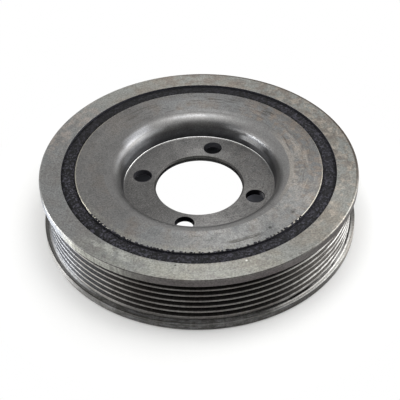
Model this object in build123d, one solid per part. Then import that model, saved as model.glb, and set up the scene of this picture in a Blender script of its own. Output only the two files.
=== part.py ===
from build123d import *

import os
from math import cos, radians, tan

# Harmonic balancer with a six-groove belt track: a dished hub, a bonded rubber ring and an inertia ring.
# Millimetres, +Z up. The origin is on the turning axis, in the rear plane that the part rests on, and the
# dished front face looks up. Every piece is a half section in (radius, height), revolved about Z, and the
# bolt holes are the only cuts off the axis.

# Belt track, an automotive multi-ribbed section
groove_count = 6
groove_pitch = 3.56
groove_angle = 40.0  # included angle of a groove, in degrees
crest_d = 152.8  # over the crests between the grooves
crest_width = 0.75  # flat left on each crest
relief_width = 0.7  # turning relief in the foot of each flange, along the axis
relief_depth = 0.6  # below the crests

# Inertia ring
ring_height = 32.8  # front face to rear face
ring_wall = 4.24  # left between the roots of the grooves and the bore that the rubber is bonded to
ring_edge_chamfer = 0.5  # on the outer edge of both end faces
flange_thickness = 4.0  # each flange, beside the belt track
flange_height = 2.6  # above the crests

# Rubber ring
rubber_thickness = 6.95  # bore of the inertia ring to the rim of the hub
rubber_recess = 0.8  # how far both its ends lie below the metal faces

# Hub
rim_wall = 4.5  # inwards from the rubber
web_wall = 4.5  # flat face and wall of the dish
seat_wall = 3.2  # bolt seat, thinner because it is faced on both sides
dish_depth = 12.0  # front face down to the bolt seat
dish_draft = 12.0  # lean of the wall of the dish, in degrees
dish_lip_radius = 7.3  # roll from the flat face into the dish
seat_d = 76.0  # corner between the seat and the wall of the dish
seat_corner_chamfer = 0.9
rim_corner_chamfer = 3.0  # inner corner of rim and web, on the hidden side
bore_d = 43.8  # centre bore
bore_front_chamfer = 0.8
bore_rear_chamfer = 0.4
bolt_circle_d = 59.0
bolt_hole_d = 9.0
bolt_count = 4
bolt_phase = 75.2  # first bolt hole, in degrees from +X
index_offset = -5.0  # last hole off the even spacing, in degrees, so that the hub fits in one position

# Radii, heights and the depth of a groove that several pieces share
crest_radius = crest_d / 2
groove_mouth = groove_pitch - crest_width
groove_depth = groove_mouth / 2 / tan(radians(groove_angle / 2))
ring_radius = crest_radius + flange_height
ring_bore_radius = crest_radius - groove_depth - ring_wall
rim_radius = ring_bore_radius - rubber_thickness
bore_radius = bore_d / 2
seat_height = ring_height - dish_depth


def turned(corners):
    """One solid revolved about Z from its half section. A corner is (radius, height), with a third
    number where it is rounded."""
    points = [corner[:2] for corner in corners]
    roundings = [corner[2] if len(corner) > 2 else 0 for corner in corners]
    outline = FilletPolyline(*points, radius=roundings, close=True)
    return revolve(Plane.XZ * make_face(outline), Axis.Z)


def chamfered_at(piece, height, radius, size):
    """A turned piece with one of its circular edges chamfered."""
    circles = piece.edges().filter_by(GeomType.CIRCLE)
    edge = circles.filter_by(
        lambda circle: abs(circle.center().Z - height) < 1e-4 and abs(circle.radius - radius) < 1e-4
    )
    return chamfer(edge, size)


def belt_grooves():
    """Corners of the grooves, from the rear to the front, centred between the two end faces."""
    first = (ring_height - (groove_count - 1) * groove_pitch) / 2
    corners = []
    for groove in range(groove_count):
        middle = first + groove * groove_pitch
        corners += [
            (crest_radius, middle - groove_mouth / 2),
            (crest_radius - groove_depth, middle),
            (crest_radius, middle + groove_mouth / 2),
        ]
    return corners


def make_inertia_ring():
    """Heavy ring with the belt track turned between two flanges, each with a relief in its foot."""
    front_flange = ring_height - flange_thickness
    relief_radius = crest_radius - relief_depth
    ring = turned(
        [(ring_bore_radius, 0), (ring_radius, 0), (ring_radius, flange_thickness)]
        + [(relief_radius, flange_thickness), (crest_radius, flange_thickness + relief_width)]
        + belt_grooves()
        + [(crest_radius, front_flange - relief_width), (relief_radius, front_flange)]
        + [(ring_radius, front_flange), (ring_radius, ring_height), (ring_bore_radius, ring_height)]
    )
    for height in (0, ring_height):
        ring = chamfered_at(ring, height, ring_radius, ring_edge_chamfer)
    return ring


def make_rubber_ring():
    """Rubber moulded between the hub's rim and the ring, below both faces."""
    low, high = rubber_recess, ring_height - rubber_recess
    return turned([(rim_radius, low), (ring_bore_radius, low), (ring_bore_radius, high), (rim_radius, high)])


def dish_wall(height):
    """Inner radius of the leaning wall of the dish at a height."""
    return seat_d / 2 + (height - seat_height) * tan(radians(dish_draft))


def make_hub():
    """Cup with a dished face, open behind, and a thin faced seat for the bolts."""
    web_under = ring_height - web_wall
    seat_under = seat_height - seat_wall
    across = web_wall / cos(radians(dish_draft))
    rim_inside = rim_radius - rim_wall
    hub = turned(
        [
            (rim_radius, 0),
            (rim_radius, ring_height),
            (dish_wall(ring_height), ring_height, dish_lip_radius),
            (dish_wall(seat_height), seat_height),
            (bore_radius, seat_height),
            (bore_radius, seat_under),
            (dish_wall(seat_under) + across, seat_under),
            (dish_wall(web_under) + across, web_under),
            (rim_inside, web_under),
            (rim_inside, 0),
        ]
    )
    hub = chamfered_at(hub, seat_height, dish_wall(seat_height), seat_corner_chamfer)
    hub = chamfered_at(hub, seat_height, bore_radius, bore_front_chamfer)
    hub = chamfered_at(hub, seat_under, bore_radius, bore_rear_chamfer)
    hub = chamfered_at(hub, web_under, rim_inside, rim_corner_chamfer)
    return hub - bolt_holes((seat_height + seat_under) / 2)


def bolt_holes(middle):
    """Drills through the bolt seat. The last one is turned off the even spacing."""
    angles = [bolt_phase + hole * 360 / bolt_count for hole in range(bolt_count)]
    angles[-1] += index_offset
    drill = Pos(bolt_circle_d / 2, 0, middle) * Cylinder(bolt_hole_d / 2, 2 * seat_wall)
    return [Rot(0, 0, angle) * drill for angle in angles]


os.makedirs("parts", exist_ok=True)
pieces = {"inertia_ring": make_inertia_ring(), "rubber_ring": make_rubber_ring(), "hub": make_hub()}
for name, piece in pieces.items():
    export_step(piece, f"parts/{name}.step")
    print(name, round(piece.volume), "mm3")
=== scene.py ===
from math import acos, cos, pi, radians, sin, tan

import bpy
from mathutils import Matrix, Vector


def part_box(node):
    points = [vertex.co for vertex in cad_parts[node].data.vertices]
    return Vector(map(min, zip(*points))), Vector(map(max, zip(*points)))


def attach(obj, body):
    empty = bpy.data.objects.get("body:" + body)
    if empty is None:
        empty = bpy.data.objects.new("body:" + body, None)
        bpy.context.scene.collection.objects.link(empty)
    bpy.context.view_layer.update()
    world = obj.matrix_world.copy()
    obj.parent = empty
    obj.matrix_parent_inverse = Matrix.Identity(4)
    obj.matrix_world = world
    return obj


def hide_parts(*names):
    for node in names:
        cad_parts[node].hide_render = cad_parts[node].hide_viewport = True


# Harmonic balancer: a dished steel hub, a bonded rubber ring and an iron ring with a belt track.
# Sizes are in millimetres and angles in degrees unless a note says otherwise. Z is the turning axis.

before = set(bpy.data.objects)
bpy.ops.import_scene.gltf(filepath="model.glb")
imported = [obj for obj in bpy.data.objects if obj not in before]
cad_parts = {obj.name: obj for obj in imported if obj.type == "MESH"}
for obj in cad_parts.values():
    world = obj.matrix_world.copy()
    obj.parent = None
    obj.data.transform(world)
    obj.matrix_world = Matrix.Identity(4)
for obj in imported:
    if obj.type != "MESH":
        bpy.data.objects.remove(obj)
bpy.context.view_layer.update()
print("frame loaded:", ", ".join(sorted(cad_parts)))

mm = 0.001
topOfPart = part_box("inertia_ring")[1].z / mm  # height of the front face
outerRadii = {node: round(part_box(node)[1].x / mm, 3) for node in ("hub", "rubber_ring", "inertia_ring")}


# Helpers

def linear(hexCode):  # sRGB hex to the linear colour that a shader takes
    values = [int(hexCode[i:i + 2], 16) / 255 for i in (1, 3, 5)]
    return [v / 12.92 if v <= 0.04045 else ((v + 0.055) / 1.055) ** 2.4 for v in values] + [1.0]


def addNode(tree, kind, inputs=None, **settings):
    # an input takes a value, an output socket to link, or a node whose first output is linked
    node = tree.nodes.new(kind)
    for name, value in settings.items():
        setattr(node, name, value)
    for name, value in (inputs or {}).items():
        if isinstance(value, bpy.types.Node):
            value = value.outputs[0]
        if isinstance(value, bpy.types.NodeSocket):
            tree.links.new(value, node.inputs[name])
        else:
            node.inputs[name].default_value = value
    return node


def addObject(name, data):
    added = bpy.data.objects.new(name, data)
    bpy.context.scene.collection.objects.link(added)
    return added


def newMaterial(name):  # with its tree and the inputs of its shader
    material = bpy.data.materials.new(name)
    material.use_nodes = True
    return material, material.node_tree, material.node_tree.nodes["Principled BSDF"].inputs


def newTree(name, sockets):  # a geometry tree with named inputs, the last two for its finishes
    tree = bpy.data.node_groups.new(name, "GeometryNodeTree")
    tree.interface.new_socket("Geometry", in_out="OUTPUT", socket_type="NodeSocketGeometry")
    for label, kind in sockets + [("Finish", "Material"), ("Second Finish", "Material")]:
        tree.interface.new_socket(label, in_out="INPUT", socket_type="NodeSocket" + kind)
    return tree, tree.nodes.new("NodeGroupInput").outputs


def addModifier(piece, tree, values):  # inputs are set by the identifier of their socket
    modifier = piece.modifiers.new(tree.name, "NODES")
    modifier.node_group = tree
    for item in tree.interface.items_tree:
        if item.in_out == "INPUT" and item.name in values:
            modifier[item.identifier] = values[item.name]


def finishTree(tree, geometry, given):
    # instances are made real, and faces that carry the flag at both ends take the second finish
    mostOfFace = 0.6  # the flag is 0 or 1 at a corner and 0.5 on a face between the two
    real = addNode(tree, "GeometryNodeRealizeInstances", {"Geometry": geometry})
    first = addNode(tree, "GeometryNodeSetMaterial", {"Geometry": real, "Material": given["Finish"]})
    flag = addNode(tree, "GeometryNodeInputNamedAttribute", {"Name": "secondFinish"}, data_type="FLOAT")
    flagged = addNode(tree, "FunctionNodeCompare", {0: flag, 1: mostOfFace}, operation="GREATER_THAN")
    second = addNode(tree, "GeometryNodeSetMaterial", {
        "Geometry": first, "Selection": flagged, "Material": given["Second Finish"]})
    addNode(tree, "NodeGroupOutput", {0: second})


def creasedShading(tree, geometry, angle):  # smooth, but sharp at edges that bend by more than the angle
    smooth = addNode(tree, "GeometryNodeSetShadeSmooth", {"Geometry": geometry, "Shade Smooth": True})
    bend = addNode(tree, "GeometryNodeInputMeshEdgeAngle")
    sharp = addNode(tree, "FunctionNodeCompare", {0: bend, 1: angle}, operation="GREATER_THAN")
    return addNode(tree, "GeometryNodeSetShadeSmooth", {
        "Geometry": smooth, "Selection": sharp, "Shade Smooth": False}, domain="EDGE")


def bake(piece):  # turns the modifiers' result into the piece's own mesh
    plain = bpy.data.meshes.new_from_object(piece.evaluated_get(bpy.context.evaluated_depsgraph_get()))
    piece.modifiers.clear()
    piece.data = plain
    plain.name = piece.name
    print(piece.name, "has", sum(len(face.vertices) - 2 for face in plain.polygons), "triangles")


# Sections

def roundedOutline(corners, hold=0.12, step=14, crisp=1.0):
    # A corner is (radius, height, rounding, 1 for the second finish). A rounding has a point every step of
    # degrees, and one more holds the flat on each side of it. Only crisp outer corners wear, and their wear
    # also carries a painted highlight along the edge.
    points, wearAndGlint, second = [], [], []
    for i, (x, y, rounding, finish) in enumerate(corners):
        here = Vector((x, y))
        before = Vector(corners[i - 1][:2]) - here
        after = Vector(corners[(i + 1) % len(corners)][:2]) - here
        inward, outward = before.normalized(), after.normalized()
        halfAngle = acos(max(-1, min(1, inward.dot(outward)))) / 2
        reach = rounding / tan(halfAngle)
        centre = here + (inward + outward).normalized() * rounding / sin(halfAngle)
        start, end = here + inward * reach - centre, here + outward * reach - centre
        turn = pi - 2 * halfAngle
        side = 1 if start.cross(end) > 0 else -1
        count = max(2, round(turn / radians(step)))
        if before.length > 2 * (reach + hold):
            points.append(here + inward * (reach + hold))
            wearAndGlint.append(0.0)
        for k in range(count + 1):
            angle = side * turn * k / count
            points.append(centre + Matrix.Rotation(angle, 2) @ start)
            wearAndGlint.append(sin(pi * k / count) if side > 0 and rounding < crisp else 0.0)
        if after.length > 2 * (reach + hold):
            points.append(here + outward * (reach + hold))
            wearAndGlint.append(0.0)
        second += [float(finish)] * (len(points) - len(second))
    return points, wearAndGlint, second


def sectionPiece(name, corners):  # a loose closed outline in the XY plane, in metres
    points, wearAndGlint, second = roundedOutline(corners)
    mesh = bpy.data.meshes.new(name)
    edges = [(i, (i + 1) % len(points)) for i in range(len(points))]
    mesh.from_pydata([(p.x * mm, p.y * mm, 0) for p in points], edges, [])
    mesh.attributes.new("edgeWearAndGlint", "FLOAT", "POINT").data.foreach_set("value", wearAndGlint)
    mesh.attributes.new("secondFinish", "FLOAT", "POINT").data.foreach_set("value", second)
    return addObject(name, mesh)


def turningTree():  # sweeps the outline round the turning axis
    tree, given = newTree("turnSection", [
        ("Section", "Geometry"), ("Segments", "Int"), ("Sharp Above", "Float")])
    core = 1 * mm  # radius of the circle that carries the outline, taken off again below
    outline = addNode(tree, "GeometryNodeMeshToCurve", {"Mesh": given["Section"]})
    place = addNode(tree, "GeometryNodeInputPosition")
    split = addNode(tree, "ShaderNodeSeparateXYZ", {0: place})
    shifted = addNode(tree, "ShaderNodeMath", {0: split.outputs["X"], 1: core}, operation="SUBTRACT")
    upright = addNode(tree, "ShaderNodeMath", {0: split.outputs["Y"], 1: -1.0}, operation="MULTIPLY")
    laid = addNode(tree, "ShaderNodeCombineXYZ", {"X": shifted, "Y": upright})
    profile = addNode(tree, "GeometryNodeSetPosition", {"Geometry": outline, "Position": laid})
    circle = addNode(tree, "GeometryNodeCurvePrimitiveCircle", {
        "Resolution": given["Segments"], "Radius": core})
    swept = addNode(tree, "GeometryNodeCurveToMesh", {"Curve": circle, "Profile Curve": profile})
    creased = creasedShading(tree, swept, given["Sharp Above"])
    finishTree(tree, creased, given)
    return tree


turnSection = turningTree()


def turnedPiece(name, corners, sizes, finishes):
    piece = sectionPiece(name, corners)
    addModifier(piece, turnSection, finishes | {
        "Segments": sizes["segments"], "Sharp Above": radians(sizes["sharpAbove"])})
    return piece


# Finishes

patternStretch = {  # how often a pattern changes round the axis, and how much across it
    "Mottle": (60, 1.0),  # even in both directions
    "Marks": (7, 1.0),  # drawn out round the axis
    "Streaks": (60, 0.15),  # drawn out along the radius
}
noiseLook = {
    "patchScale": 0.5,  # noise of this scale has patches one unit wide, and is divided by their real size
    "roughness": 0.6,
    "low": 0.3,  # noise mostly lies between these two
    "high": 0.7,
}
metalLook = {  # what the iron and the steel share
    "stainSpan": (0.42, 0.68),  # noise where a stain begins and where it is full
    "stainRoughness": 0.08,  # added where a stain is full
    "wearAndGlintStrength": 0.6,
    "markDepth": 0.05,
    "grainSize": 0.35,
    "grainContrast": 0.36,
    "roughness": 0.42,
    "anisotropy": 0.8,
}


def turnedPlaceGroup():  # the place on the part in turned coordinates, in millimetres, shared by all finishes
    group = bpy.data.node_groups.new("turnedPlace", "ShaderNodeTree")
    place = addNode(group, "ShaderNodeTexCoord")
    scaled = addNode(group, "ShaderNodeVectorMath", {
        0: place.outputs["Object"], "Scale": 1 / mm}, operation="SCALE")
    flat = addNode(group, "ShaderNodeVectorMath", {0: scaled, 1: (1, 1, 0)}, operation="MULTIPLY")
    radius = addNode(group, "ShaderNodeVectorMath", {0: flat}, operation="LENGTH").outputs["Value"]
    around = addNode(group, "ShaderNodeVectorMath", {0: flat}, operation="NORMALIZE")
    height = addNode(group, "ShaderNodeSeparateXYZ", {0: scaled}).outputs["Z"]
    across = addNode(group, "ShaderNodeMath", {0: radius, 1: height}, operation="ADD")
    given = {"Radius": radius, "Height": height, "Around": around, "Flat": flat}
    for label, (lengthwise, crosswise) in patternStretch.items():
        band = addNode(group, "ShaderNodeMath", {0: across, 1: crosswise}, operation="MULTIPLY")
        upright = addNode(group, "ShaderNodeCombineXYZ", {"Z": band})
        given[label] = addNode(group, "ShaderNodeVectorMath", {
            0: around, 1: (lengthwise,) * 3, 2: upright}, operation="MULTIPLY_ADD")
    for label in given:
        kind = "Float" if label in ("Radius", "Height") else "Vector"
        group.interface.new_socket(label, in_out="OUTPUT", socket_type="NodeSocket" + kind)
    addNode(group, "NodeGroupOutput", given)
    return group


turnedPlace = turnedPlaceGroup()


def film(colour, strength, **where):
    # A thin layer of colour that covers the ones before it. Where a comment speaks of light or shade, the
    # layer paints it on, and it stays put in every view and every light. A layer lies where all of these
    # allow: radius and height are (low, high, softness), side is (direction, half width, softness), spot
    # is (x, y, radius, softness), and patches is (pattern, patch size, noise where none is, noise where
    # all is, seed).
    return {"colour": colour, "strength": strength} | where


def filmMask(tree, place, layer):  # how much of a film lies here
    spans = []  # a value, where it gives nothing and where it gives all
    for key, label in (("radius", "Radius"), ("height", "Height")):
        if key in layer:
            low, high, soft = layer[key]
            spans.append((place.outputs[label], low - soft / 2, low + soft / 2))
            spans.append((place.outputs[label], high + soft / 2, high - soft / 2))
    if "side" in layer:
        azimuth, width, soft = [radians(angle) for angle in layer["side"]]
        facing = addNode(tree, "ShaderNodeVectorMath", {
            0: place.outputs["Around"], 1: (cos(azimuth), sin(azimuth), 0)}, operation="DOT_PRODUCT")
        spans.append((facing.outputs["Value"], cos(width + soft), cos(max(0, width - soft))))
    if "spot" in layer:
        x, y, size, soft = layer["spot"]
        away = addNode(tree, "ShaderNodeVectorMath", {
            0: place.outputs["Flat"], 1: (x, y, 0)}, operation="DISTANCE")
        spans.append((away.outputs["Value"], size + soft, size - soft))
    if "patches" in layer:
        pattern, size, low, high, seed = layer["patches"]
        patches = addNode(tree, "ShaderNodeTexNoise", {
            "Vector": place.outputs[pattern], "W": float(seed), "Scale": noiseLook["patchScale"] / size,
            "Detail": 3.0, "Roughness": noiseLook["roughness"]}, noise_dimensions="4D")
        spans.append((patches.outputs["Fac"], low, high))
    amount = layer["strength"]
    for value, nothing, full in spans:
        share = addNode(tree, "ShaderNodeMapRange", {
            "Value": value, "From Min": nothing, "From Max": full}, interpolation_type="SMOOTHSTEP")
        amount = addNode(tree, "ShaderNodeMath", {0: share, 1: amount}, operation="MULTIPLY")
    return amount


def filmed(tree, place, films, colour, roughness):  # a finish with its films laid on, one over another
    for layer in films:
        amount = filmMask(tree, place, layer)
        colour = addNode(tree, "ShaderNodeMix", {
            "Factor": amount, 6: colour, 7: linear(layer["colour"])}, data_type="RGBA").outputs[2]
        if "roughness" in layer:
            roughness = addNode(tree, "ShaderNodeMix", {
                "Factor": amount, 2: roughness, 3: layer["roughness"]}, data_type="FLOAT").outputs[0]
    return colour, roughness


def turnedMetal(name, look):
    # Metal turned on a lathe: fine concentric marks draw its highlights out across the marks, with soft
    # stains from handling, films of dirt, rubber and painted light and shade where the look says, and
    # brighter rubbed edges whose colour is partly a painted highlight.
    material, tree, shader = newMaterial(name)
    place = addNode(tree, "ShaderNodeGroup", node_tree=turnedPlace)

    # a real feed mark is 0.2 mm wide and real grit 0.1 mm, both drawn coarser so that they show
    marks, grain, clouds = [
        addNode(tree, "ShaderNodeTexNoise", {
            "Vector": place.outputs[pattern], "W": seed, "Scale": noiseLook["patchScale"] / size,
            "Detail": detail, "Roughness": noiseLook["roughness"]}, noise_dimensions="4D")
        for pattern, seed, size, detail in (
            ("Marks", 1.0, look["markWidth"], 3.0), ("Mottle", 2.0, look["grainSize"], 3.0),
            ("Mottle", 3.0, look["cloudSize"], 4.0))]
    stainFrom, stainTo = look["stainSpan"]
    stain = addNode(tree, "ShaderNodeMapRange", {
        "Value": clouds, "From Min": stainFrom, "From Max": stainTo}, interpolation_type="SMOOTHSTEP")
    colour = addNode(tree, "ShaderNodeMix", {
        "Factor": stain, 6: linear(look["colour"]), 7: linear(look["stainColour"])},
        data_type="RGBA").outputs[2]
    roughness = addNode(tree, "ShaderNodeMapRange", {
        "Value": stain, "To Min": look["roughness"],
        "To Max": look["roughness"] + look["stainRoughness"]}).outputs[0]
    colour, roughness = filmed(tree, place, look["films"], colour, roughness)
    tone = 1.0
    for pattern, label in ((marks, "markContrast"), (grain, "grainContrast"), (clouds, "cloudContrast")):
        share = addNode(tree, "ShaderNodeMapRange", {
            "Value": pattern, "From Min": noiseLook["low"], "From Max": noiseLook["high"],
            "To Min": 1 - look[label], "To Max": 1 + look[label]})
        tone = addNode(tree, "ShaderNodeMath", {0: tone, 1: share}, operation="MULTIPLY")
    toned = addNode(tree, "ShaderNodeVectorMath", {0: colour, "Scale": tone}, operation="SCALE")

    # lighter colour on crisp edges: wear, and a painted highlight along them
    wearAndGlint = addNode(tree, "ShaderNodeAttribute", attribute_name="edgeWearAndGlint")
    wearAndGlintAmount = addNode(tree, "ShaderNodeMath", {
        0: wearAndGlint.outputs["Fac"], 1: look["wearAndGlintStrength"]}, operation="MULTIPLY")
    wornAndGlinting = addNode(tree, "ShaderNodeMix", {
        "Factor": wearAndGlintAmount, 6: toned, 7: linear(look["wearAndGlintColour"])}, data_type="RGBA")

    surface = addNode(tree, "ShaderNodeMath", {0: marks, 1: grain}, operation="ADD")
    bump = addNode(tree, "ShaderNodeBump", {
        "Height": surface, "Strength": look["markBump"], "Distance": look["markDepth"] * mm})
    tangent = addNode(tree, "ShaderNodeTangent", direction_type="RADIAL", axis="Z")
    shader["Metallic"].default_value = 1.0
    shader["Anisotropic"].default_value = look["anisotropy"]
    shader["Anisotropic Rotation"].default_value = 0.25  # the highlight spreads across the marks
    tree.links.new(wornAndGlinting.outputs[2], shader["Base Color"])
    tree.links.new(roughness, shader["Roughness"])
    tree.links.new(bump.outputs[0], shader["Normal"])
    tree.links.new(tangent.outputs[0], shader["Tangent"])
    return material


# Iron ring with the belt track

ringSizes = {
    "height": topOfPart,
    "outerRadius": outerRadii["inertia_ring"],
    "crestRadius": 76.4,
    "boreRadius": outerRadii["rubber_ring"],
    "flangeThickness": 4.0,
    "reliefWidth": 0.7,
    "reliefDepth": 0.6,
    "grooves": 6,
    "pitch": 3.56,
    "grooveMouth": 2.81,
    "grooveDepth": 3.86,
    "crestRounding": 0.18,
    "rootRounding": 0.22,
    "edgeChamfer": 0.5,
    "boreChamfer": 0.08,
    "edgeRounding": 0.08,
    "flangeRounding": 0.15,
    "reliefRounding": 0.12,
    "segments": 320,
    "sharpAbove": 40,  # edges that bend by more are shaded sharp
}
ringFaceLook = metalLook | {  # grey iron: matt and grainy, with brown stains
    "colour": "#8F908C",
    "stainColour": "#827D75",
    "wearAndGlintColour": "#D2D1CC",
    "markWidth": 0.7,
    "markContrast": 0.07,
    "markBump": 0.35,
    "cloudSize": 7.0,
    "cloudContrast": 0.08,
    "films": [
        # grey, brown and pale patches of the flat face, laid by side, with plain grey darkening its left
        film("#737476", 0.6, side=(190, 45, 25)),
        film("#7D756E", 0.7, side=(50, 62, 20), patches=("Mottle", 2.0, 0.44, 0.58, 11)),
        film("#A9A196", 0.7, side=(10, 50, 25), patches=("Mottle", 1.6, 0.5, 0.62, 12)),
        film("#9C948D", 0.6, side=(152, 16, 10), patches=("Mottle", 2.0, 0.45, 0.6, 13)),
        film("#98998F", 0.5, side=(262, 32, 14), radius=(69.5, 78.2, 1.5),
             patches=("Mottle", 3.2, 0.38, 0.58, 14)),
        film("#A8A9A2", 0.3, side=(266, 26, 10), patches=("Streaks", 0.7, 0.5, 0.62, 15)),
        film("#B4B5AE", 0.6, side=(236, 10, 6), radius=(69.0, 74.0, 2.0),
             patches=("Mottle", 2.2, 0.44, 0.58, 16)),
        film("#7B7B77", 0.35, side=(270, 14, 10)),
        film("#757270", 0.6, side=(270, 60, 20), patches=("Mottle", 1.6, 0.54, 0.66, 17)),
        # dirt along the outer edge at the back, painted shade on the front of the outer chamfer, a dark and a
        # pale spot, and rubber smeared on the bore wall
        film("#4A4038", 0.85, side=(42, 55, 15), radius=(77.7, 80.0, 0.8)),
        film("#3C3937", 0.8, side=(268, 42, 14), radius=(78.5, 80.0, 0.2)),
        film("#3A3734", 0.8, spot=(-11.6, -69.0, 0.5, 0.35)),
        film("#E4E4DE", 0.8, spot=(20.6, -66.9, 0.45, 0.3)),
        film("#3C3C42", 1.0, radius=(60.0, 68.33, 0.06), roughness=0.8),
    ],
}
grooves = 4.0, 28.9, 0.2  # heights that several films share, as low, high and softness
upperFlange = 28.8, 33.0, 0.2
lowerFlange = -0.2, 4.1, 0.2
trackLook = ringFaceLook | {  # turned with a coarser feed, with dirt and painted shade in the grooves and painted light on the crests
    "colour": "#83817E",
    "stainColour": "#74706D",
    "wearAndGlintColour": "#B8B7B2",
    "wearAndGlintStrength": 0.35,
    "markContrast": 0.10,
    "markBump": 0.12,
    "roughness": 0.45,
    "anisotropy": 0.9,
    "films": [
        # dirt and painted shade in the grooves, darkest in front, painted light on the flanks at the sides,
        # and painted shade on the crests at the left
        film("#2B2826", 0.85, radius=(70.0, 76.15, 0.3), height=grooves, roughness=0.6),
        film("#100F0E", 0.5, side=(272, 20, 14), radius=(70.0, 75.9, 0.3), height=grooves),
        film("#7D7975", 0.55, side=(328, 18, 14), radius=(70.0, 76.0, 0.3), height=grooves),
        film("#7A7E84", 0.35, side=(214, 14, 12), radius=(70.0, 75.9, 0.3), height=grooves),
        film("#63676E", 0.85, side=(203, 13, 10), radius=(76.0, 80.0, 0.2), height=(0.5, 28.5, 0.5)),
        # the two flanges: streaks, mottles and a brown stain, with painted light and shade laid by side
        film("#8E8F88", 0.8, side=(237, 23, 10), height=upperFlange),
        film("#5C5B58", 0.5, side=(225, 35, 12), height=upperFlange,
             patches=("Streaks", 0.5, 0.48, 0.58, 23)),
        film("#615C5C", 0.8, side=(278, 29, 11), height=upperFlange),
        film("#3B3837", 0.9, side=(336, 24, 14), height=upperFlange),
        film("#6C6B69", 1.0, height=lowerFlange),
        film("#474643", 0.7, side=(270, 48, 12), height=lowerFlange,
             patches=("Mottle", 1.2, 0.38, 0.62, 21)),
        film("#85868A", 0.6, side=(262, 55, 12), height=lowerFlange,
             patches=("Marks", 0.4, 0.52, 0.62, 24)),
        film("#857C72", 0.8, side=(342, 12, 8), height=(1.7, 3.7, 0.3),
             patches=("Mottle", 0.8, 0.32, 0.5, 25)),
        film("#454341", 0.7, side=(314, 12, 8), height=(-0.2, 3.7, 0.2)),
        # light on the lower flange's ledge at both sides, painted on, and painted shade in the dark lines
        # beside it
        film("#3A3836", 0.5, side=(232, 44, 12), radius=(78.2, 79.2, 0.2), height=(3.75, 4.6, 0.2)),
        film("#C9CACA", 0.85, side=(208, 12, 12), radius=(76.1, 77.2, 0.25), height=(3.8, 4.6, 0.1)),
        film("#343436", 0.6, side=(207, 16, 12), radius=(75.9, 76.8, 0.2), height=(4.7, 5.3, 0.2)),
        # a painted bluish reflection on the upper flange at the left
        film("#6C7077", 0.8, side=(203, 11, 8), height=upperFlange),
        film("#B4B0AA", 0.9, side=(324, 22, 12), radius=(77.7, 79.3, 0.2), height=(3.8, 4.1, 0.1)),
        film("#F4F2EE", 1.0, side=(322, 20, 12), radius=(77.05, 77.9, 0.1), height=(3.8, 4.1, 0.1)),
        film("#1E1C1B", 0.95, side=(322, 30, 14), radius=(75.6, 77.1, 0.1), height=(3.6, 5.2, 0.2)),
        film("#1E1C1B", 0.85, side=(339, 12, 10), radius=(75.6, 76.9, 0.2), height=(4.9, 5.7, 0.2)),
        film("#DADAD8", 0.65, side=(316, 14, 10), radius=(78.2, 79.2, 0.2), height=(3.75, 4.6, 0.2)),
        # light on the crests at the right, painted on, and dirt with painted shade along the rear edge, which
        # faces down
        film("#D6D5D2", 0.9, side=(330, 24, 12), radius=(76.1, 77.5, 0.2), height=(4.0, 28.5, 0.5),
             patches=("Marks", 0.6, 0.4, 0.6, 22)),
        film("#2A2624", 0.95, side=(282, 76, 15), height=(-0.2, 0.7, 0.3)),
    ],
}


def ringCorners(s):
    top, low = s["height"], 0.0
    outer, crest, bore = s["outerRadius"], s["crestRadius"], s["boreRadius"]
    lowFlange, topFlange = s["flangeThickness"], top - s["flangeThickness"]
    foot, root = crest - s["reliefDepth"], crest - s["grooveDepth"]
    c, b = s["edgeChamfer"], s["boreChamfer"]
    edge, flange, relief = s["edgeRounding"], s["flangeRounding"], s["reliefRounding"]
    corners = [
        (bore, low + b, edge, 0), (bore + b, low, edge, 0), (outer - c, low, edge, 0),
        (outer, low + c, edge, 1), (outer, lowFlange, flange, 1), (foot, lowFlange, relief, 1),
        (crest, lowFlange + s["reliefWidth"], flange, 1)]
    first = (top - (s["grooves"] - 1) * s["pitch"]) / 2
    for groove in range(s["grooves"]):
        middle, half = first + groove * s["pitch"], s["grooveMouth"] / 2
        corners += [
            (crest, middle - half, s["crestRounding"], 1), (root, middle, s["rootRounding"], 1),
            (crest, middle + half, s["crestRounding"], 1)]
    corners += [
        (crest, topFlange - s["reliefWidth"], flange, 1), (foot, topFlange, relief, 1),
        (outer, topFlange, flange, 1), (outer, top - c, edge, 1), (outer - c, top, edge, 0),
        (bore + b, top, edge, 0), (bore, top - b, edge, 0)]
    return corners


ringFinishes = {
    "Finish": turnedMetal("facedGreyIron", ringFaceLook),
    "Second Finish": turnedMetal("turnedGreyIronTrack", trackLook),
}
beltRing = turnedPiece("beltRing", ringCorners(ringSizes), ringSizes, ringFinishes)
bake(beltRing)
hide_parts("inertia_ring")
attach(beltRing, "root")


# Steel hub

hubSizes = {
    "height": topOfPart,
    "rimRadius": outerRadii["hub"],
    "rimWall": 4.5,
    "webWall": 4.5,
    "seatWall": 3.2,
    "dishDepth": 12.0,
    "dishDraft": 12.0,
    "lipRounding": 8.0,
    "backLipRounding": 4.0,
    "seatRadius": 38.0,
    "seatChamfer": 0.45,
    "rimCorner": 3.0,
    "rimChamfer": 0.3,
    "boreRadius": 21.9,
    "boreFrontChamfer": 0.8,
    "boreRearChamfer": 0.4,
    "edgeRounding": 0.08,
    "boreRounding": 0.1,
    "wallFootRounding": 0.15,
    "seatEdgeRounding": 0.25,
    "backFootRounding": 1.5,
    "segments": 320,
    "sharpAbove": 40,
    "holeCircle": 29.5,
    "holeRadius": 4.5,
    "holes": 4,
    "firstHole": 75.2,
    "lastHoleOffset": -5.0,
    "holeChamfer": 0.25,
    "holeSides": 48,
    "holeSharpAbove": 30,
    "drillLength": 12.0,
}
boltSeat = 16.0, 21.2, 0.1  # heights and radii that several films share, as low, high and softness
boreWall = 0.0, 21.97, 0.04
boreEdge = 21.95, 22.75, 0.1
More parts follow.
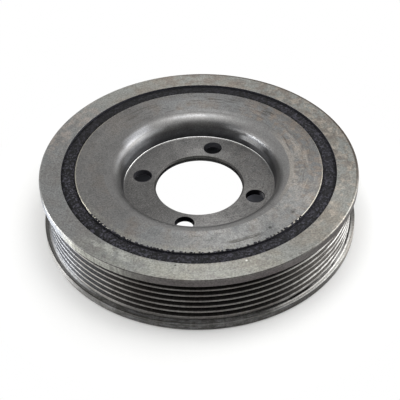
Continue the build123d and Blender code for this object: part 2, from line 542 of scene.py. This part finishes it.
hubFaceLook = metalLook | {  # mild steel, faced on a lathe and since stained brown and rubbed
    "colour": "#818282",
    "stainColour": "#746F6A",
    "wearAndGlintColour": "#CFCDC4",
    "markWidth": 0.8,
    "markContrast": 0.05,
    "markBump": 0.3,
    "cloudSize": 5.0,
    "cloudContrast": 0.16,
    "films": [
        # grey, brown and pale patches of the flat face, laid by side and darker over its left and the rim at
        # the back, a painted highlight along the rim's edge beside the rubber, and two dents
        film("#6B6967", 0.7, side=(172, 55, 20)),
        film("#908479", 0.65, side=(8, 50, 20), patches=("Mottle", 2.2, 0.46, 0.6, 31)),
        film("#A8A39C", 0.55, side=(345, 36, 16), radius=(44.0, 52.5, 2.5),
             patches=("Mottle", 1.2, 0.44, 0.6, 40)),
        film("#605E5C", 0.3, side=(95, 75, 20), radius=(57.0, 63.0, 2.0)),
        film("#706F6C", 0.35, side=(267, 14, 10), radius=(50.0, 60.0, 2.0)),
        film("#5A5653", 0.6, side=(70, 62, 20), patches=("Marks", 0.5, 0.54, 0.64, 42)),
        film("#A9A39B", 0.6, side=(0, 26, 12), patches=("Marks", 1.6, 0.5, 0.62, 32)),
        film("#5C5955", 0.6, side=(2, 20, 12), radius=(49.0, 58.0, 2.0),
             patches=("Marks", 0.8, 0.55, 0.66, 33)),
        film("#979795", 0.6, side=(308, 32, 16), patches=("Mottle", 2.2, 0.4, 0.58, 34)),
        film("#98978C", 0.25, side=(250, 42, 16), radius=(58.2, 61.6, 1.4),
             patches=("Mottle", 1.6, 0.36, 0.56, 38)),
        film("#4E4C49", 0.7, side=(82, 14, 8), radius=(52.5, 57.5, 1.5),
             patches=("Marks", 0.6, 0.5, 0.6, 35)),
        film("#524F4C", 0.6, side=(124, 10, 6), radius=(52.0, 57.0, 1.5),
             patches=("Marks", 1.2, 0.44, 0.6, 36)),
        film("#4E4B48", 0.7, side=(49, 4, 2), radius=(53.5, 57.5, 1.2),
             patches=("Marks", 0.5, 0.48, 0.58, 39)),
        # painted highlight along the rim's broken edge, at the left and at the right
        film("#B9B4A4", 0.6, side=(178, 40, 15), radius=(60.85, 61.5, 0.2)),
        film("#B9B4A4", 0.5, side=(0, 50, 15), radius=(60.95, 61.5, 0.2)),
        film("#5E5D5A", 0.5, side=(258, 26, 12), radius=(49.0, 57.0, 2.0),
             patches=("Marks", 0.45, 0.56, 0.66, 47)),
        film("#55534F", 0.75, side=(291, 8, 3), radius=(55.6, 58.6, 1.2),
             patches=("Marks", 0.8, 0.42, 0.55, 37)),
        film("#3E3D3B", 0.8, spot=(32.5, -45.7, 0.8, 0.5)),
        film("#4A4846", 0.7, spot=(44.0, -35.2, 0.9, 0.6)),
        # the bolt seat's lit and shaded sides and its marks, painted shade on the bore's edge and wall,
        # rubber on the rim
        film("#6D6C6B", 0.85, radius=(0.0, 39.0, 0.2), height=boltSeat),
        film("#656463", 0.5, side=(230, 110, 20), radius=(0.0, 28.0, 3.0), height=boltSeat),
        film("#8C8B89", 0.5, side=(325, 50, 15), radius=(22.0, 38.5, 1.0), height=boltSeat,
             patches=("Marks", 0.5, 0.42, 0.58, 43)),
        film("#8C8B89", 0.45, side=(72, 24, 14), radius=(22.8, 29.0, 2.0), height=boltSeat),
        film("#525150", 0.35, side=(200, 24, 14), radius=(22.8, 37.0, 1.0), height=boltSeat),
        film("#4C4B4A", 0.8, radius=(22.8, 37.0, 0.5), height=boltSeat,
             patches=("Mottle", 0.45, 0.53, 0.64, 44)),
        film("#A3A2A0", 0.4, radius=(22.8, 37.0, 0.5), height=boltSeat,
             patches=("Mottle", 0.4, 0.54, 0.66, 45)),
        film("#4E4D4C", 0.9, radius=boreEdge, height=(17.6, 21.2, 0.1)),
        film("#313130", 0.9, side=(90, 26, 12), radius=boreEdge, height=(17.6, 21.2, 0.1)),
        film("#141316", 1.0, radius=boreWall, roughness=0.7),
        film("#3C3C3B", 1.0, side=(85, 38, 12), radius=boreWall),
        film("#38383E", 1.0, radius=(61.3, 62.0, 0.04), roughness=0.8),
    ],
}
dishLook = hubFaceLook | {  # drawn over a die: no turning marks, so it shines plainly along its roll
    "colour": "#7C7B7A",
    "stainColour": "#70706F",
    "grainContrast": 0.3,
    "markBump": 0.12,
    "roughness": 0.36,
    "anisotropy": 0.0,
    "films": [
        # the wall of the dish, shaded towards its foot
        film("#686766", 0.6, side=(172, 55, 20), height=(30.5, 34.0, 2.0)),
        film("#6A6B6E", 0.9, height=(10.0, 26.0, 4.0)),
        film("#4F5053", 0.8, side=(90, 40, 20), height=(10.0, 23.5, 2.0)),
        # light and shade along the roll, painted on: near white in the two places that shine most
        film("#F4F6FA", 0.95, side=(39.5, 4, 8.5), height=(25.8, 28.3, 1.0),
             patches=("Marks", 0.6, 0.34, 0.54, 46)),
        film("#FCFDFF", 1.0, side=(43, 1, 14), height=(24.1, 26.6, 0.7),
             patches=("Streaks", 0.5, 0.28, 0.46, 48)),
        film("#F4F6FA", 0.65, side=(40, 4, 6), height=(26.1, 27.3, 0.6)),
        film("#A4A6AA", 0.4, side=(22, 8, 8), height=(26.0, 28.3, 1.4)),
        film("#BFC1C6", 0.5, side=(147, 14, 10), height=(24.8, 28.0, 1.8)),
        film("#C3C5CA", 0.14, side=(128, 9, 7), height=(28.0, 29.6, 1.0)),
        film("#C3C5CA", 0.1, side=(93, 12, 9), height=(31.2, 31.9, 0.4)),
        film("#5F6063", 0.4, side=(161, 8, 7), height=(28.8, 31.0, 1.0)),
        film("#555658", 0.6, side=(66, 9, 8), height=(26.2, 30.0, 2.0)),
        film("#C3C5CA", 0.35, side=(139, 9, 8), height=(30.0, 32.1, 0.6)),
        film("#A39D95", 0.6, side=(0, 26, 14), height=(32.55, 33.0, 0.15)),
        film("#A3A3A2", 0.4, side=(84, 20, 12), height=(32.55, 33.0, 0.15)),
        # shade at the foot of the wall with painted light on it at the right, and the dark and the lit line
        # in its corner with the seat
        film("#3C3C3E", 0.6, side=(0, 16, 12), height=(20.0, 25.5, 1.5)),
        film("#3C3C3E", 0.6, side=(180, 14, 10), height=(20.0, 25.0, 1.5)),
        film("#A4A6AA", 0.45, side=(33, 8, 8), height=(21.8, 25.0, 1.5)),
        film("#3A3B3D", 0.9, side=(98, 75, 12), radius=(37.0, 38.6, 0.1), height=(21.42, 21.9, 0.06)),
        film("#F6F6F4", 1.0, side=(98, 70, 12), radius=(36.95, 38.3, 0.1), height=(20.7, 21.36, 0.06)),
    ],
}
holeWallLook = {
    "colours": ("#3A3A3E", "#333337", "#0E0E12", "#101013"),  # dirt and shade, by hole
    "roughness": 0.7,
    "reach": 0.3,  # past the wall, over its broken edge
    "softness": 0.05,
    # light on the wall of the hole at the right, painted on
    "litWall": film("#77777A", 0.8, spot=(32.0, -9.2, 2.6, 1.6), height=(16.0, 20.5, 0.2)),
}


def hubCorners(s):
    top, rim, bore = s["height"], s["rimRadius"], s["boreRadius"]
    seat = top - s["dishDepth"]
    under, webUnder = seat - s["seatWall"], top - s["webWall"]
    lean = tan(radians(s["dishDraft"]))
    across = s["webWall"] / cos(radians(s["dishDraft"]))
    inside, c = rim - s["rimWall"], s["rimChamfer"]
    front, rear, foot = s["boreFrontChamfer"], s["boreRearChamfer"], s["seatChamfer"]
    edge, bored = s["edgeRounding"], s["boreRounding"]

    def wallAt(height):  # radius of the leaning wall of the dish
        return s["seatRadius"] + (height - seat) * lean

    return [
        (inside + c, 0, edge, 0), (rim - c, 0, edge, 0), (rim, c, edge, 1), (rim, top - c, edge, 0),
        (rim - c, top, edge, 0), (wallAt(top), top, s["lipRounding"], 1),
        (wallAt(seat + foot), seat + foot, s["wallFootRounding"], 1),
        (s["seatRadius"] - foot, seat, s["seatEdgeRounding"], 0), (bore + front, seat, bored, 0),
        (bore, seat - front, bored, 0), (bore, under + rear, edge, 0), (bore + rear, under, edge, 0),
        (wallAt(under) + across, under, s["backFootRounding"], 0),
        (wallAt(webUnder) + across, webUnder, s["backLipRounding"], 1),
        (inside, webUnder, s["rimCorner"], 1), (inside, c, edge, 1)]


def drillingTree():  # bolt holes round the seat, each with a broken edge on both faces
    tree, given = newTree("drillHoles", [
        ("Geometry", "Geometry"), ("Holes", "Int"), ("Circle", "Float"), ("First Angle", "Float"),
        ("Last Offset", "Float"), ("Hole Radius", "Float"), ("Hole Sides", "Int"), ("Edge Break", "Float"),
        ("Drill Length", "Float"), ("Upper Face", "Float"), ("Lower Face", "Float"),
        ("Sharp Above", "Float")])
    index = addNode(tree, "GeometryNodeInputIndex")
    step = addNode(tree, "ShaderNodeMath", {0: 2 * pi, 1: given["Holes"]}, operation="DIVIDE")
    last = addNode(tree, "ShaderNodeMath", {0: given["Holes"], 1: 1.0}, operation="SUBTRACT")
    isLast = addNode(tree, "ShaderNodeMath", {0: index, 1: last, 2: 0.1}, operation="COMPARE")
    even = addNode(tree, "ShaderNodeMath", {
        0: index, 1: step, 2: given["First Angle"]}, operation="MULTIPLY_ADD")
    angle = addNode(tree, "ShaderNodeMath", {
        0: isLast, 1: given["Last Offset"], 2: even}, operation="MULTIPLY_ADD")
    turn = addNode(tree, "ShaderNodeCombineXYZ", {"Z": angle})
    start = addNode(tree, "ShaderNodeCombineXYZ", {"X": given["Circle"]})
    spot = addNode(tree, "ShaderNodeVectorRotate", {
        "Vector": start, "Rotation": turn}, rotation_type="EULER_XYZ")
    spots = addNode(tree, "GeometryNodePoints", {"Count": given["Holes"], "Position": spot})

    # the drill, and at each face a cone for the broken edge, which reaches one break below and above the face
    faces = addNode(tree, "ShaderNodeMath", {0: given["Upper Face"], 1: given["Lower Face"]}, operation="ADD")
    middle = addNode(tree, "ShaderNodeMath", {0: faces, 1: 0.5}, operation="MULTIPLY")
    drill = addNode(tree, "GeometryNodeMeshCylinder", {
        "Vertices": given["Hole Sides"], "Radius": given["Hole Radius"], "Depth": given["Drill Length"]})
    wide = addNode(tree, "ShaderNodeMath", {
        0: given["Hole Radius"], 1: given["Edge Break"]}, operation="ADD")
    wider = addNode(tree, "ShaderNodeMath", {0: given["Edge Break"], 1: wide}, operation="ADD")
    depth = addNode(tree, "ShaderNodeMath", {0: given["Edge Break"], 1: 2.0}, operation="MULTIPLY")
    tools = [(drill, middle)]
    for face, topRadius, bottomRadius in (
            ("Upper Face", wider, given["Hole Radius"]), ("Lower Face", given["Hole Radius"], wider)):
        cone = addNode(tree, "GeometryNodeMeshCone", {
            "Vertices": given["Hole Sides"], "Radius Top": topRadius, "Radius Bottom": bottomRadius,
            "Depth": depth})
        foot = addNode(tree, "ShaderNodeMath", {0: given[face], 1: given["Edge Break"]}, operation="SUBTRACT")
        tools.append((cone, foot))
    cut = given["Geometry"]
    for tool, height in tools:
        lift = addNode(tree, "ShaderNodeCombineXYZ", {"Z": height})
        lifted = addNode(tree, "GeometryNodeTransform", {"Geometry": tool, "Translation": lift})
        placed = addNode(tree, "GeometryNodeInstanceOnPoints", {"Points": spots, "Instance": lifted})
        real = addNode(tree, "GeometryNodeRealizeInstances", {"Geometry": placed})
        cut = addNode(tree, "GeometryNodeMeshBoolean", {
            "Mesh 1": cut, "Mesh 2": real}, operation="DIFFERENCE", solver="EXACT")

    # the cut faces take no wear with its painted highlight and no second finish from the faces around them
    place = addNode(tree, "GeometryNodeInputPosition")
    flat = addNode(tree, "ShaderNodeVectorMath", {0: place, 1: (1, 1, 0)}, operation="MULTIPLY")
    away = addNode(tree, "GeometryNodeProximity", {
        0: spots, "Sample Position": flat}, target_element="POINTS").outputs["Distance"]
    inHole = addNode(tree, "FunctionNodeCompare", {0: away, 1: wider}, operation="LESS_THAN")
    for label in ("edgeWearAndGlint", "secondFinish"):
        cut = addNode(tree, "GeometryNodeStoreNamedAttribute", {
            "Geometry": cut, "Selection": inHole, "Name": label, "Value": 0.0})
    creased = creasedShading(tree, cut, given["Sharp Above"])
    finishTree(tree, creased, given)
    return tree


def holeWallFilms(s, look):  # dirt and painted shade on the wall of each bolt hole, and the painted light on one
    films = []
    for hole in range(s["holes"]):
        offset = s["lastHoleOffset"] if hole == s["holes"] - 1 else 0
        angle = radians(s["firstHole"] + hole * 360 / s["holes"] + offset)
        x, y = s["holeCircle"] * cos(angle), s["holeCircle"] * sin(angle)
        wall = x, y, s["holeRadius"] + look["reach"], look["softness"]
        colour = look["colours"][hole % len(look["colours"])]
        films.append(film(colour, 1.0, spot=wall, roughness=look["roughness"]))
    return films + [look["litWall"]]


hubFilms = hubFaceLook["films"] + holeWallFilms(hubSizes, holeWallLook)
hubFinishes = {
    "Finish": turnedMetal("facedMildSteel", hubFaceLook | {"films": hubFilms}),
    "Second Finish": turnedMetal("drawnMildSteel", dishLook),
}
dishedHub = turnedPiece("dishedHub", hubCorners(hubSizes), hubSizes, hubFinishes)
seatTop = hubSizes["height"] - hubSizes["dishDepth"]
addModifier(dishedHub, drillingTree(), hubFinishes | {
    "Holes": hubSizes["holes"], "Circle": hubSizes["holeCircle"] * mm,
    "First Angle": radians(hubSizes["firstHole"]), "Last Offset": radians(hubSizes["lastHoleOffset"]),
    "Hole Radius": hubSizes["holeRadius"] * mm, "Hole Sides": hubSizes["holeSides"],
    "Edge Break": hubSizes["holeChamfer"] * mm, "Drill Length": hubSizes["drillLength"] * mm,
    "Upper Face": seatTop * mm, "Lower Face": (seatTop - hubSizes["seatWall"]) * mm,
    "Sharp Above": radians(hubSizes["holeSharpAbove"])})
bake(dishedHub)
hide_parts("hub")
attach(dishedHub, "root")


# Rubber ring

rubberSizes = {
    "innerRadius": outerRadii["hub"],
    "outerRadius": outerRadii["rubber_ring"],
    "recess": 0.8,
    "height": topOfPart,
    "sink": 0.7,  # drop of the skin beside the metal
    "sinkWidth": 1.6,
    "edgeRounding": 0.05,
    "skinRounding": 1.2,
    "segments": 720,
    "sharpAbove": 60,
    "waviness": 0.25,
    "waveSize": 1.6,
    "flashBits": 60,  # bits of thin rubber along the hub's rim, between these two directions
    "flashFrom": 212.0,
    "flashTo": 322.0,
    "flashBit": (0.75, 0.95, 0.1),  # half width, half length and rise of the largest bits
    "flashInset": (-0.25, 0.45),  # how far a bit may stand inwards of the rim
    "flashSmallest": (0.55, 0.3, 0.6),  # share of width, length and rise that the smallest bits have
}
rubberLook = {
    "colour": "#050506",
    "dustColour": "#42414A",
    "grainSize": 0.45,
    "specks": (0.49, 0.62),  # noise where the dust begins and where it is full
    "skinBump": 0.5,
    "skinDepth": 0.3,
    "roughness": 0.8,
    "ior": 1.52,
    "gloss": 0.25,  # dust in the skin takes half of the gloss
    "films": [
        # painted shade on the rubber beside the hub's rim at the back and beside the ring in front, where the
        # nearer metal edge hides it, then a darker back half and grey dust on the right
        film("#060608", 0.9, side=(90, 85, 15), radius=(60.0, 62.0, 0.6)),
        film("#060608", 0.9, side=(270, 85, 15), radius=(67.7, 69.0, 0.5)),
        film("#08080A", 0.65, side=(108, 55, 25)),
        film("#26262C", 0.4, side=(320, 70, 30), patches=("Mottle", 1.2, 0.42, 0.6, 41)),
    ],
}


def mouldedRubber(name, look):
    # Nitrile rubber moulded between the metal rings: near black with a cold cast, and a matt skin whose
    # small flow marks hold grey dust. Painted shade lies darkest where the nearer metal edge hides the
    # rubber.
    material, tree, shader = newMaterial(name)
    place = addNode(tree, "ShaderNodeGroup", node_tree=turnedPlace)
    grain = addNode(tree, "ShaderNodeTexNoise", {
        "Vector": place.outputs["Mottle"], "W": 4.0, "Scale": noiseLook["patchScale"] / look["grainSize"],
        "Detail": 4.0, "Roughness": noiseLook["roughness"]}, noise_dimensions="4D")
    few, many = look["specks"]
    dust = addNode(tree, "ShaderNodeMapRange", {"Value": grain, "From Min": few, "From Max": many})
    colour = addNode(tree, "ShaderNodeMix", {
        "Factor": dust, 6: linear(look["colour"]), 7: linear(look["dustColour"])},
        data_type="RGBA").outputs[2]
    colour, roughness = filmed(tree, place, look["films"], colour, look["roughness"])
    bump = addNode(tree, "ShaderNodeBump", {
        "Height": grain, "Strength": look["skinBump"], "Distance": look["skinDepth"] * mm})
    tree.links.new(colour, shader["Base Color"])
    tree.links.new(bump.outputs[0], shader["Normal"])
    shader["Roughness"].default_value = roughness
    shader["IOR"].default_value = look["ior"]
    shader["Specular IOR Level"].default_value = look["gloss"]
    return material


def rubberCorners(s):  # crowned front and rear, lowest where the rubber meets the metal
    inner, outer, top = s["innerRadius"], s["outerRadius"], s["height"] - s["recess"]
    sink, width, low = s["sink"], s["sinkWidth"], s["recess"]
    edge, skin = s["edgeRounding"], s["skinRounding"]
    return [
        (inner, low + sink, edge, 0), (inner + width, low, skin, 0), (outer - width, low, skin, 0),
        (outer, low + sink, edge, 0), (outer, top - sink, edge, 0), (outer - width, top, skin, 0),
        (inner + width, top, skin, 0), (inner, top - sink, edge, 0)]


def mouldingTree():  # waves in the moulded faces, and bits of flash left along part of the hub's rim
    tree, given = newTree("mouldRubber", [
        ("Geometry", "Geometry"), ("Waviness", "Float"), ("Wave Size", "Float"), ("Inner Radius", "Float"),
        ("Top", "Float"), ("Bits", "Int"), ("From", "Float"), ("To", "Float"), ("Inset From", "Float"),
        ("Inset To", "Float"), ("Bit Size", "Vector"), ("Smallest Share", "Vector")])
    place = addNode(tree, "GeometryNodeInputPosition")
    size = addNode(tree, "ShaderNodeMath", {
        0: noiseLook["patchScale"], 1: given["Wave Size"]}, operation="DIVIDE")
    waves = addNode(tree, "ShaderNodeTexNoise", {"Vector": place, "Scale": size, "Detail": 2.0})
    centred = addNode(tree, "ShaderNodeMath", {0: waves.outputs["Fac"], 1: 0.5}, operation="SUBTRACT")
    height = addNode(tree, "ShaderNodeMath", {0: centred, 1: given["Waviness"]}, operation="MULTIPLY")
    lift = addNode(tree, "ShaderNodeCombineXYZ", {"Z": height})
    waved = addNode(tree, "GeometryNodeSetPosition", {"Geometry": given["Geometry"], "Offset": lift})

    index = addNode(tree, "GeometryNodeInputIndex")
    jitter = addNode(tree, "FunctionNodeRandomValue", {2: 0.0, 3: 1.0, "Seed": 3}, data_type="FLOAT")
    along = addNode(tree, "ShaderNodeMath", {0: index, 1: jitter.outputs[1]}, operation="ADD")
    share = addNode(tree, "ShaderNodeMath", {0: along, 1: given["Bits"]}, operation="DIVIDE")
    angle = addNode(tree, "ShaderNodeMapRange", {
        "Value": share, "To Min": given["From"], "To Max": given["To"]})
    turn = addNode(tree, "ShaderNodeCombineXYZ", {"Z": angle})
    inset = addNode(tree, "FunctionNodeRandomValue", {
        2: given["Inset From"], 3: given["Inset To"], "Seed": 5}, data_type="FLOAT").outputs[1]
    reach = addNode(tree, "ShaderNodeMath", {0: given["Inner Radius"], 1: inset}, operation="SUBTRACT")
    start = addNode(tree, "ShaderNodeCombineXYZ", {"X": reach, "Z": given["Top"]})
    spot = addNode(tree, "ShaderNodeVectorRotate", {
        "Vector": start, "Rotation": turn}, rotation_type="EULER_XYZ")
    spots = addNode(tree, "GeometryNodePoints", {"Count": given["Bits"], "Position": spot})
    bit = addNode(tree, "GeometryNodeMeshIcoSphere", {"Radius": 1.0, "Subdivisions": 2})
    change = addNode(tree, "FunctionNodeRandomValue", {
        0: given["Smallest Share"], 1: (1.0, 1.0, 1.0), "Seed": 8}, data_type="FLOAT_VECTOR")
    bitScale = addNode(tree, "ShaderNodeVectorMath", {0: given["Bit Size"], 1: change}, operation="MULTIPLY")
    bits = addNode(tree, "GeometryNodeInstanceOnPoints", {
        "Points": spots, "Instance": bit, "Rotation": turn, "Scale": bitScale})
    both = addNode(tree, "GeometryNodeJoinGeometry")
    for part in (bits, waved):
        tree.links.new(part.outputs[0], both.inputs[0])
    finishTree(tree, both, given)
    return tree


nitrileRubber = mouldedRubber("mouldedNitrileRubber", rubberLook)
rubberFinishes = {"Finish": nitrileRubber, "Second Finish": nitrileRubber}
bondedRubber = turnedPiece("bondedRubber", rubberCorners(rubberSizes), rubberSizes, rubberFinishes)
insetFrom, insetTo = rubberSizes["flashInset"]
addModifier(bondedRubber, mouldingTree(), rubberFinishes | {
    "Waviness": rubberSizes["waviness"] * mm, "Wave Size": rubberSizes["waveSize"] * mm,
    "Inner Radius": rubberSizes["innerRadius"] * mm, "Top": topOfPart * mm,
    "Bits": rubberSizes["flashBits"], "From": radians(rubberSizes["flashFrom"]),
    "To": radians(rubberSizes["flashTo"]), "Inset From": insetFrom * mm, "Inset To": insetTo * mm,
    "Bit Size": [size * mm for size in rubberSizes["flashBit"]],
    "Smallest Share": rubberSizes["flashSmallest"]})
bake(bondedRubber)
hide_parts("rubber_ring")
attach(bondedRubber, "root")


# Studio

studio = {
    "floorSize": 6.0,  # metres and radians from here on
    "floorColour": "#F2F2F1",
    "whiteFrom": 0.085,  # the floor fades to plain white between these distances
    "whiteTo": 0.125,
    "shadeRadius": 0.060,  # painted shade: darker paper under the part
    "shadeSoftness": 0.004,
    "shadeColour": "#8E9099",
    "seenThrough": (((0, 0, 0), 0.0235), ((0, 0.021, 0), 0.0235)),  # paper below centre bore and front hole, painted white though it lies in the part's shadow
    "seenThroughSoftness": 0.0005,
    "worldColour": "#FFFFFF",
    "worldStrength": 0.75,
    "cameraPlace": (0, -0.41720, 0.38272),
    "cameraHeading": 0.0006787,
    "cameraPitch": 0.7289407,
    "cameraRoll": -0.0243236,
    "clipStart": 0.01,
    "lens": 98.77,  # millimetres
}
lamps = {  # place, width, height, brightness of the soft box's face; each is aimed at the part
    "overhead": ((0.03, -0.06, 0.42), 0.36, 0.30, 1.8),
    "overheadSmall": ((0, -0.02, 0.42), 0.14, 0.14, 3.0),
    "leftLow": ((-0.40, 0.03, 0.03), 0.22, 0.06, 45),
    "leftFront": ((-0.34, -0.20, 0.06), 0.18, 0.12, 5.0),
    "right": ((0.37, 0.08, 0.13), 0.36, 0.26, 3.6),
}
cards = {  # low corner, high corner and colour of the matt cards that give the metal its darker sides
    "frontCard": ((-0.45, -0.38, 0.0), (0.45, -0.38, 0.33), "#5A5A5A"),
    "backCard": ((-0.35, 0.50, 0.0), (0.35, 0.50, 0.14), "#9A9A9A"),
}


def whiteForSeeingRays(tree):  # 1 for rays that show the background: seen, mirrored or seen through
    rays = addNode(tree, "ShaderNodeLightPath").outputs
    total = addNode(tree, "ShaderNodeMath", {
        0: rays["Is Camera Ray"], 1: rays["Is Glossy Ray"]}, operation="ADD")
    return addNode(tree, "ShaderNodeMath", {
        0: total, 1: rays["Is Transmission Ray"]}, operation="ADD", use_clamp=True)


def addSheet(name, corners, material):
    mesh = bpy.data.meshes.new(name)
    mesh.from_pydata(corners, [], [(0, 1, 2, 3)])
    mesh.materials.append(material)
    return addObject(name, mesh)


def paperFloor():
    # Matt paper sweep: takes the soft shadow close to the part and fades to plain white further out. Under
    # the part it is painted darker as shade, with white painted below the bore and the front hole.
    material, tree, shader = newMaterial("mattPaper")
    shader["Roughness"].default_value = 1.0
    shader["Specular IOR Level"].default_value = 0.0
    place = addNode(tree, "ShaderNodeTexCoord").outputs["Object"]
    distance = addNode(tree, "ShaderNodeVectorMath", {0: place}, operation="LENGTH").outputs["Value"]
    amount = addNode(tree, "ShaderNodeMapRange", {
        "Value": distance, "From Min": studio["whiteFrom"], "From Max": studio["whiteTo"]},
        interpolation_type="SMOOTHSTEP")
    soft = studio["seenThroughSoftness"]
    for centre, radius in studio["seenThrough"]:
        away = addNode(tree, "ShaderNodeVectorMath", {0: place, 1: centre}, operation="DISTANCE")
        patch = addNode(tree, "ShaderNodeMapRange", {
            "Value": away.outputs["Value"], "From Min": radius + soft, "From Max": radius - soft})
        amount = addNode(tree, "ShaderNodeMath", {0: amount, 1: patch}, operation="MAXIMUM")
    amount = addNode(tree, "ShaderNodeMath", {0: amount, 1: whiteForSeeingRays(tree)}, operation="MULTIPLY")
    shade = addNode(tree, "ShaderNodeMapRange", {
        "Value": distance, "From Min": studio["shadeRadius"],
        "From Max": studio["shadeRadius"] - studio["shadeSoftness"]})
    paper = addNode(tree, "ShaderNodeMix", {
        "Factor": shade, 6: linear(studio["floorColour"]), 7: linear(studio["shadeColour"])},
        data_type="RGBA")
    tree.links.new(paper.outputs[2], shader["Base Color"])
    white = addNode(tree, "ShaderNodeEmission", {"Color": (1, 1, 1, 1), "Strength": 1.0})
    mixed = addNode(tree, "ShaderNodeMixShader", {0: amount, 1: tree.nodes["Principled BSDF"], 2: white})
    tree.links.new(mixed.outputs[0], tree.nodes["Material Output"].inputs["Surface"])
    return material


half = studio["floorSize"] / 2
floorCorners = (-half, -half, 0), (half, -half, 0), (half, half, 0), (-half, half, 0)
floor = addSheet("floor", floorCorners, paperFloor())

world = bpy.data.worlds.new("studio")
world.use_nodes = True
bpy.context.scene.world = world
sky = world.node_tree.nodes["Background"]
sky.inputs["Color"].default_value = linear(studio["worldColour"])
worldLevel = addNode(world.node_tree, "ShaderNodeMapRange", {
    "Value": whiteForSeeingRays(world.node_tree), "To Min": studio["worldStrength"], "To Max": 1.0})
world.node_tree.links.new(worldLevel.outputs[0], sky.inputs["Strength"])

for name, (spot, width, height, brightness) in lamps.items():
    data = bpy.data.lights.new(name, "AREA")
    data.shape, data.size, data.size_y = "RECTANGLE", width, height
    data.energy = brightness * pi * width * height  # watts
    lamp = addObject(name, data)
    lamp.location = spot
    lamp.rotation_euler = (-Vector(spot)).to_track_quat("-Z", "Y").to_euler()
    lamp.visible_camera = False

for name, (low, high, colour) in cards.items():
    paper, tree, shader = newMaterial(name)
    shader["Base Color"].default_value = linear(colour)
    shader["Roughness"].default_value = 1.0
    card = addSheet(name, [low, (high[0], low[1], low[2]), high, (low[0], high[1], high[2])], paper)
    card.visible_camera = False

camera = addObject("camera", bpy.data.cameras.new("camera"))
camera.data.lens = studio["lens"]
camera.data.clip_start = studio["clipStart"]
heading, pitch, roll = studio["cameraHeading"], studio["cameraPitch"], studio["cameraRoll"]
forward = Vector((sin(heading) * cos(pitch), cos(heading) * cos(pitch), -sin(pitch)))
level = Vector((cos(heading), -sin(heading), 0))
upright = level.cross(forward)
right = cos(roll) * level + sin(roll) * upright
up = -sin(roll) * level + cos(roll) * upright
turned = Matrix((right, up, -forward)).transposed().to_4x4()
camera.matrix_world = Matrix.Translation(studio["cameraPlace"]) @ turned
bpy.context.scene.camera = camera
bpy.context.scene.view_settings.view_transform = "Standard"
print("studio set")
